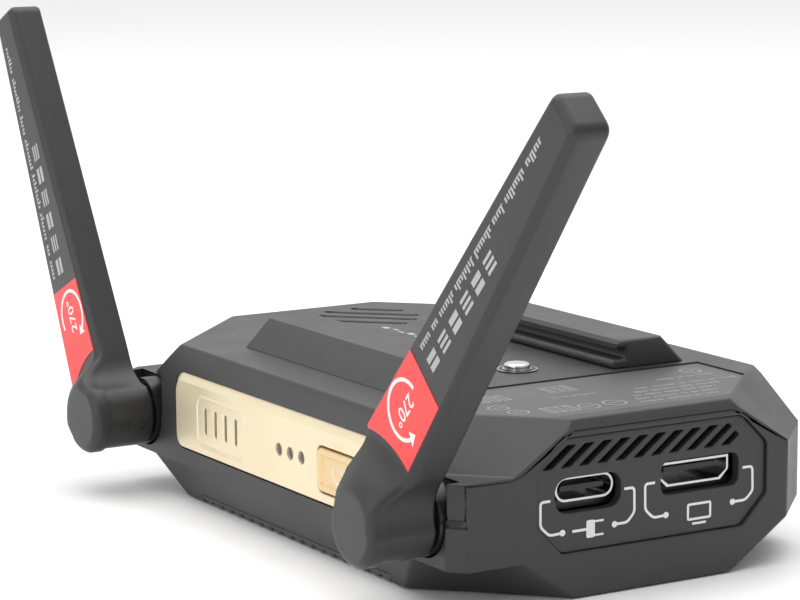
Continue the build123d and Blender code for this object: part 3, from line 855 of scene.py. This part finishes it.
def front_plate_piece():
    x0, x1, z0, z1 = plate_low[0], plate_high[0], plate_low[2], plate_high[2]
    outer = rounded([(x0, z0), (x1, z0), (x1, z1), (x0, z1)], 2.3, 8)
    left, right, low, top = x0 + SIDE_EDGE, x1 - SIDE_EDGE, z0 + SIDE_EDGE, z1 - SLOPE
    face = rounded([(left, low), (right, low), (right, top), (left, top)], 2.0, 8)
    holes = plate_holes()
    shell = Shell()
    rings = [(outer, -PLATE_DEPTH), (outer, -0.62), (inset(outer, 0.03), -0.5)]
    rings += [([a.lerp(b, t) for a, b in zip(outer, face)], h)
              for t, h in ((0.08, -0.44), (0.9, -0.06), (0.97, -0.02), (1.0, 0.0))]
    shell.skin([[on_front(*p, h) for p in loop] for loop, h in rings])
    for hole in holes:
        rings = [(hole, -PLATE_DEPTH)] + [(inset(hole, -by), -down) for by, down in round_edge(HOLE_EDGE, 3)]
        shell.skin([[on_front(*p, h) for p in loop] for loop, h in rings])
    flat, faces = filled(face, [inset(hole, -HOLE_EDGE) for hole in holes])
    shell.cover([on_front(*p, 0) for p in flat], faces)
    return shell.build("front_plate_shaped", CHAMPAGNE, "casing")


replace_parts(front_plate_piece(), "front_plate")
print("front plate:", round(plate_high[0] - plate_low[0], 1), "mm wide")

# %% [markdown]
# A raised line frames the four level lights. In section it is a low arch a tenth of a millimetre
# high, which is enough for a highlight along its whole length.

# %% Raised frame round the level lights
def raised_frame():
    outer = rounded(rectangle(-15.25, 13.0, 14.9, 7.6), 2.0, 6)
    arch = [(0.0, 0.0), (0.1, 0.07), (0.25, 0.10), (0.4, 0.07), (0.55, 0.0)]
    shell = Shell()
    shell.skin([[on_front(*p, h) for p in inset(outer, by)] for by, h in arch])
    return shell.build("level_frame", CHAMPAGNE, "casing")


print("level frame:", len(raised_frame().data.polygons), "faces")

# %% [markdown]
# The power button sits in its own opening. A bright rim and a shallow dish make it read as a
# button, and the round sign with a bar is the common sign for power.

# %% Power button
BUTTON_SUNK, DISH = 0.25, 0.3


def on_button(u, v, h):
    return Vector((u, plate_low[1] - BUTTON_SUNK - h, v))


def power_button_piece():
    outer = rounded(rectangle(BUTTON_X, BUTTON_Z, 10.6, 5.9), 1.2, 6)
    rim = [(0.0, -2.2), (0.0, -0.3), (0.08, -0.1), (0.25, 0.0), (0.75, 0.0), (0.95, -0.08), (1.15, -DISH)]
    shell = Shell()
    shell.skin([[on_button(*p, h) for p in inset(outer, by)] for by, h in rim])
    flat, faces = filled(inset(outer, rim[-1][0]))
    shell.cover([on_button(*p, -DISH) for p in flat], faces)
    return shell.build("power_button_shaped", BUTTON_GOLD, "power_button")


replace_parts(power_button_piece(), "power_button")
arc = [(BUTTON_X + 1.25 * sin(radians(a)), BUTTON_Z + 1.25 * cos(radians(a))) for a in range(38, 323, 12)]
bar = [(BUTTON_X, 12.9), (BUTTON_X, 14.1)]
printed("power_sign", on_button, [strip(arc, THIN_LINE), strip(bar, THIN_LINE)], INK, "power_button",
        lift=-DISH + 0.03)
print("power button at x =", BUTTON_X, "mm")

# %% [markdown]
# ## Antennas
# Each antenna is one moulded arm. Near the pivot its face bulges out into a round cap, and that
# sculpted neck is what makes the arm look like a real product. We start with the flat outline: a
# half circle for the hub, a hollow neck, and a blade that gets narrower towards the tip. In the
# outline q goes across the arm and s goes from the pivot to the tip.

# %% Outline of an arm
HUB, BARREL, CAP_RADIUS = 5.3, 4.95, 4.3
LEFT_EDGE, TIP = -11.5, 67.0
RIGHT_FOOT, RIGHT_TIP = 1.55, -5.1


def right_edge(s):
    return RIGHT_FOOT + (RIGHT_TIP - RIGHT_FOOT) * s / TIP


def on_hub(angle):
    return Vector((HUB * cos(angle), HUB * sin(angle)))


def arm_outline():
    tip = [(LEFT_EDGE, 30), (LEFT_EDGE, TIP), (right_edge(TIP), TIP), (right_edge(50), 50)]
    blade = rounded(tip, 1.5, 6)[7:-7]
    right = [Vector((right_edge(s), s)) for s in (56, 46, 36, 28, 20, 15, 12, 10, 8.6)]
    a, b, c = Vector((right_edge(8.0), 8.0)), Vector((1.3, 4.6)), on_hub(0.6)
    hollow = [a * (1 - t) ** 2 + b * 2 * t * (1 - t) + c * t ** 2 for t in (k / 7 for k in range(8))]
    hub = [on_hub(0.6 - k * 0.09) for k in range(1, 37)]
    heel = [hub[-1], Vector((-8.9, 3.0)), Vector((LEFT_EDGE, 6.2)), Vector((LEFT_EDGE, 9.5))]
    left = rounded(heel, 1.6, 6)[7:-7]
    straight = [Vector((LEFT_EDGE, s)) for s in (9, 12, 16, 22, 30, 40, 50, 58)]
    return hub + left + straight + blade + right + hollow


print("arm outline:", len(arm_outline()), "points,", round(area(arm_outline())), "square mm")

# %% [markdown]
# The face is a height over that outline: a flat cap, a flat label face, and an S-shaped blend
# between them. The blend depends on how far a point is from the cap and how far it is from the
# arc where the label face starts.

# %% Height of the face
ARM_BACK, ARM_FACE, CAP_FACE = 31.3, 36.5, -arm_low[1]
NECK_MIDDLE, NECK_RADIUS = -5.3, 15.0


def ease(t):
    t = max(0.0, min(1.0, t))
    return t * t * (3 - 2 * t)


def face_height(q, s):
    """Distance in front of the casing's middle plane."""
    from_cap = max(0.0, hypot(q, s) - CAP_RADIUS)
    from_arc = NECK_RADIUS - hypot(q, s - NECK_MIDDLE)
    if from_arc <= 0:
        return ARM_FACE
    return CAP_FACE - (CAP_FACE - ARM_FACE) * ease(from_cap / (from_cap + from_arc))


def arm_place(side):
    """Gives the function that sets a point of the drawing on the leaning arm."""
    angle = radians(LEAN[side])
    middle = pivot(side) / MM

    def place(q, s, y):
        x = middle.x + q * cos(angle) - s * sin(angle)
        return Vector((x, y, middle.z + q * sin(angle) + s * cos(angle)))
    return place


print("the cap stands", round(CAP_FACE - ARM_FACE, 2), "mm in front of the label face")

# %% [markdown]
# The outline is repeated at several depths for the soft edge and the side. At the hub the side
# steps in to the barrel, and the step fades out along the neck. The share of the bulge at each
# point of the outline, from 0 on the blade to 1 on the cap, steers both.

# %% Build both arms
EDGE = [(1.0, 0.0), (0.82, 0.05), (0.5, 0.32), (0.2, 0.66), (0.05, 0.95), (0.0, 1.15)]
STEP_BLADE, STEP_CAP = 34.4, 38.5
GRID = 0.45


def face_detail(outline):
    """Points inside the outline: a fine grid over the neck and a few pairs along the blade."""
    limit = inset(outline, EDGE[0][0] + 0.2)
    grid = [(q * GRID, s * GRID) for q in range(-26, 13) for s in range(-12, 27)]
    pairs = [(q, s) for s in range(14, 66, 4) for q in (-9, -6) if q < right_edge(s) - 1.5]
    return [point for point in grid if is_inside(point, limit)] + pairs


def side_rings(outline, heights):
    """Outlines and depths, from the edge of the face down to the back."""
    bulge = [(h - ARM_FACE) / (CAP_FACE - ARM_FACE) for h in heights]
    step_y = [STEP_BLADE + (STEP_CAP - STEP_BLADE) * b for b in bulge]
    narrow = [(HUB - BARREL) * b for b in bulge]
    rings = [(inset(outline, by), [h - down for h in heights]) for by, down in EDGE[1:]]
    rings += [(outline, [y + 0.1 for y in step_y]), (inset(outline, narrow), [y - 0.15 for y in step_y])]
    for by, up in ((0.0, 0.5), (0.15, 0.14), (0.45, 0.05)):
        rings.append((inset(outline, [n + by for n in narrow]), [ARM_BACK + up] * len(outline)))
    return rings


def arm_piece(side):
    place, outline = arm_place(side), arm_outline()
    inner = inset(outline, EDGE[0][0])
    heights = [face_height(*p) for p in inner]
    shell = Shell()
    flat, faces = filled([tuple(p) for p in inner], extra=face_detail(outline))
    shell.cover([place(*p, -face_height(*p)) for p in flat], faces)
    rings = side_rings(outline, heights)
    shell.skin([[place(*p, -y) for p, y in zip(loop, depths)]
                for loop, depths in [(inner, heights)] + rings])
    flat, faces = filled([tuple(p) for p in rings[-1][0]])
    shell.cover([place(*p, -rings[-1][1][0]) for p in flat], faces)
    body = "antenna_" + side
    obj = shell.build(body + "_shaped", ANTENNA, body)
    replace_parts(obj, body + "_arm")
    print(side, "arm:", len(obj.data.polygons), "faces")


for side in SIDES:
    arm_piece(side)

# %% [markdown]
# A red sticker covers the lower part of the label face and ends at the neck, so its lower edge
# follows the arc of the neck. An arrow on it shows how far the arm can fold.

# %% Outlines for the sticker and its arrow
STICKER_TOP, STICKER_ARC, STICKER_THICK = 21.7, 15.4, 0.08


def around(middle, radius, angle):
    """A point on a circle, at an angle in degrees."""
    return middle[0] + radius * cos(radians(angle)), middle[1] + radius * sin(radians(angle))


def sticker_outline():
    lower = [around((0.0, NECK_MIDDLE), STICKER_ARC, a) for a in range(92, 132, 3)]
    return [(right_edge(STICKER_TOP) - 1.0, STICKER_TOP), (LEFT_EDGE + 1.0, STICKER_TOP),
            (LEFT_EDGE + 1.0, 6.5)] + lower[::-1]


def fold_arrow(middle, start, end, radius=3.75):
    """An arc from one angle to another, with an arrow head."""
    turn = 1 if end > start else -1
    arc = [around(middle, radius, start + (end - start) * k / 30) for k in range(31)]
    back = end - turn * 4
    head = [around(middle, radius, end + turn * 16), around(middle, radius + 1.0, back),
            around(middle, radius - 1.0, back)]
    return [strip(arc, 0.5), head]


print("sticker:", round(abs(area(sticker_outline()))), "square mm")

# %% [markdown]
# The number in the arrow is the sweep of the joint in degrees. Blender's own font gives us the
# digits as a curve. We turn the curve into a mesh and set each of its points on the arm.

# %% Digits on the sticker
def turned(point, middle, angle):
    c, s = cos(angle), sin(angle)
    return middle[0] + point[0] * c - point[1] * s, middle[1] + point[0] * s + point[1] * c


def digits(text, size, place, middle, angle, body):
    curve = bpy.data.curves.new(body + "_digits", "FONT")
    curve.body = text
    curve.size = size
    curve.align_x = "CENTER"
    curve.align_y = "CENTER"
    curve.offset = 0.02
    curve.extrude = 0.02
    source = new_object(body + "_digits_source", curve)
    bpy.context.view_layer.update()
    graph = bpy.context.evaluated_depsgraph_get()
    mesh = bpy.data.meshes.new_from_object(source.evaluated_get(graph))
    bpy.data.objects.remove(source)
    for vertex in mesh.vertices:
        vertex.co = place(*turned(vertex.co, middle, angle), vertex.co.z) * MM
    return attach(new_object(body + "_digits", mesh), INK, body)


def sweep_text(side):
    low, high = joints["antenna_" + side + "_fold"]["range_deg"]
    return str(round(high - low)) + "°"


print("the arms fold through", [sweep_text(side) for side in SIDES])

# %% [markdown]
# The rest of the print on the arm is set as plain blocks: a line in the rhythm of words, but
# without any language, and a row of large signs made of two or three tiles each.

# %% Blocks instead of words
WORDS_START, WORDS_END, WORDS_ACROSS, WORD_HEIGHT = 24.0, 61.5, -9.4, 1.15
SIGNS_START, SIGN_COUNT, SIGN_PITCH, SIGNS_ACROSS, SIGN_SIZE = 25.0, 6, 3.65, -6.3, 2.4


def word_blocks(seed):
    pick = random.Random(seed)
    loops, s = [], WORDS_START
    while s < WORDS_END:
        for _ in range(pick.choice((3, 5, 7, 8, 9))):
            tall = WORD_HEIGHT * pick.choice((0.62, 0.62, 1.0))
            loops.append(rectangle(WORDS_ACROSS + tall / 2, s, tall, 0.36))
            if pick.random() < 0.6:
                loops.append(rectangle(WORDS_ACROSS + 0.08, s + 0.28, 0.16, 0.3))
            s += 0.62
        s += 0.7
    return [loop for loop in loops if loop[0][1] < WORDS_END]


def sign_tiles():
    loops = []
    for k in range(SIGN_COUNT):
        tiles = 3 if k % 2 else 2
        for part in range(tiles):
            middle = SIGNS_ACROSS + (part - (tiles - 1) / 2) * SIGN_SIZE / tiles
            loops.append(rectangle(middle, SIGNS_START + k * SIGN_PITCH, SIGN_SIZE / tiles - 0.35, SIGN_SIZE))
    return loops


print("blocks on each arm:", len(word_blocks(4)) + len(sign_tiles()))

# %% [markdown]
# Now both arms get their sticker and print. The arrow turns the other way on the left arm, since
# that arm folds the other way, and its number is read from the other side.

# %% Stickers and print on the antennas
ARROWS = {"right": ((-6.3, 15.1), (97, 342), -90), "left": ((-5.3, 16.9), (200, -50), 90)}


def dress_arm(side):
    place, body = arm_place(side), "antenna_" + side
    middle, sweep, reading = ARROWS[side]

    def on_label(q, s, h):
        return place(q, s, -ARM_FACE - h)

    def on_sticker(q, s, h):
        return place(q, s, -ARM_FACE - STICKER_THICK - h)

    sticker = plate(body + "_sticker_shaped", on_sticker, sticker_outline(), [], [(0.0, 0.02), (0.03, 0.0)],
                    0.1, STICKER, body)
    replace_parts(sticker, body + "_sticker")
    printed(body + "_arrow", on_sticker, fold_arrow(middle, *sweep), INK, body)
    digits(sweep_text(side), 2.7, on_sticker, middle, radians(reading), body)
    printed(body + "_words", on_label, word_blocks(4) + sign_tiles(), SOFT_INK, body)


for side in SIDES:
    dress_arm(side)
print("stickers and print done")

# %% [markdown]
# A small round plug closes the screw hole in the side of each hub. The hub is a cylinder, so the
# plug is drawn flat and then wrapped round it.

# %% Plugs in the hubs
PLUG_ANGLE, PLUG_Y, PLUG_RADIUS, GAP_RADIUS = radians(-38), 34.2, 1.0, 1.25


def plug_piece(side):
    place, body = arm_place(side), "antenna_" + side

    def on_barrel(u, v, h):
        angle = PLUG_ANGLE + u / BARREL
        return place((BARREL + h) * cos(angle), (BARREL + h) * sin(angle), -PLUG_Y + v)

    def on_plug(u, v, h):
        return on_barrel(u, v, h + 0.06)

    # The black ring is painted shade: it stands for the shade in the gap round the plug, which is not cut
    # into the hub.
    gap_shade = (circle(0, 0, GAP_RADIUS, 40), circle(0, 0, PLUG_RADIUS, 40))
    printed(body + "_plug_gap_shade", on_barrel, [gap_shade], BLACK, body, lift=0.02)
    plate(body + "_plug", on_plug, circle(0, 0, PLUG_RADIUS, 40), [], round_edge(0.08, 2), 0.12, ANTENNA,
          body)


for side in SIDES:
    plug_piece(side)
print("plugs done")

# %% [markdown]
# ## Studio
# The product stands on a plain pale floor under large soft lamps, the way a catalogue shows it.
# A large lamp gives a soft edge to every shadow. The one above is the strongest, and the ones in
# front and at the end only open up the sides.

# %% Floor and lamps
def studio_floor():
    bpy.ops.mesh.primitive_plane_add(size=6, location=(0, 0, -0.0002))
    floor = bpy.context.object
    floor.name = "floor"
    paint(floor, grained("pale_floor", grey(0.86), grey(0.87), 0.6, grain=300, bump=0.02))


def lamp(name, place, target, size, power):
    data = bpy.data.lights.new(name, "AREA")
    data.shape = "RECTANGLE"
    data.size, data.size_y = size
    data.energy = power
    obj = new_object(name, data)
    obj.location = place
    obj.rotation_mode = "QUATERNION"
    obj.rotation_quaternion = (Vector(target) - Vector(place)).to_track_quat("-Z", "Y")


studio_floor()
lamp("top_softbox", (-0.10, 0.05, 0.75), (0, 0, 0.0), (0.9, 0.9), 5.0)
lamp("front_softbox", (0.25, -0.8, 0.35), (0, 0, 0.02), (0.7, 0.5), 1.6)
lamp("end_softbox", (0.9, 0.15, 0.30), (0, 0, 0.02), (0.5, 0.5), 0.4)
print("lamps:", len(bpy.data.lights))

# %% [markdown]
# The room itself is white but darker on one side, towards the port end. A dark product needs
# that: faces that look into the darker side come out darker, and the form can be read. The
# direction is a fixed one in the world. The standard view keeps white white, and the red and
# the champagne as strong as they are.

# %% The room around the product
DARK_SIDE = (0.96, 0.1, -0.25)
BRIGHT, DIM = 1.04, 0.30


def studio_world():
    world = bpy.data.worlds.new("studio")
    bpy.context.scene.world = world
    world.use_nodes = True
    tree = world.node_tree
    backdrop = tree.nodes["Background"]
    backdrop.inputs["Color"].default_value = (1, 1, 1, 1)
    facing = add_node(tree, "ShaderNodeVectorMath", operation="DOT_PRODUCT")
    facing.inputs[1].default_value = DARK_SIDE
    place = add_node(tree, "ShaderNodeTexCoord")
    tree.links.new(place.outputs["Generated"], facing.inputs[0])
    tree.links.new(ramp(tree, facing.outputs["Value"], -0.1, 0.9, BRIGHT, DIM), backdrop.inputs["Strength"])


studio_world()
bpy.context.scene.view_settings.view_transform = "Standard"
print("room from", BRIGHT, "down to", DIM)

# %% [markdown]
# The camera looks from the port end, low over the floor, through a long lens. A long lens keeps
# the two antennas nearly parallel to each other, as in a catalogue picture.

# %% Camera
CAMERA_AZIMUTH, CAMERA_ELEVATION, CAMERA_ROLL = -30.8, 9.37, -0.37
CAMERA_DISTANCE = 0.418
CAMERA_TARGET = Vector((-0.0140, -0.00165, 0.0290))
CAMERA_LENS = 129.7


def place_camera():
    a, e = radians(CAMERA_AZIMUTH), radians(CAMERA_ELEVATION)
    away = Vector((cos(e) * cos(a), cos(e) * sin(a), sin(e)))
    data = bpy.data.cameras.new("camera")
    data.lens = CAMERA_LENS
    data.sensor_width = 36
    data.clip_start = 0.01
    camera = new_object("camera", data)
    camera.location = CAMERA_TARGET + away * CAMERA_DISTANCE
    camera.rotation_mode = "QUATERNION"
    roll = Quaternion((0, 0, 1), radians(CAMERA_ROLL))
    camera.rotation_quaternion = (-away).to_track_quat("-Z", "Y") @ roll
    bpy.context.scene.camera = camera


place_camera()
print("camera", CAMERA_DISTANCE, "m away, lens", CAMERA_LENS, "mm")
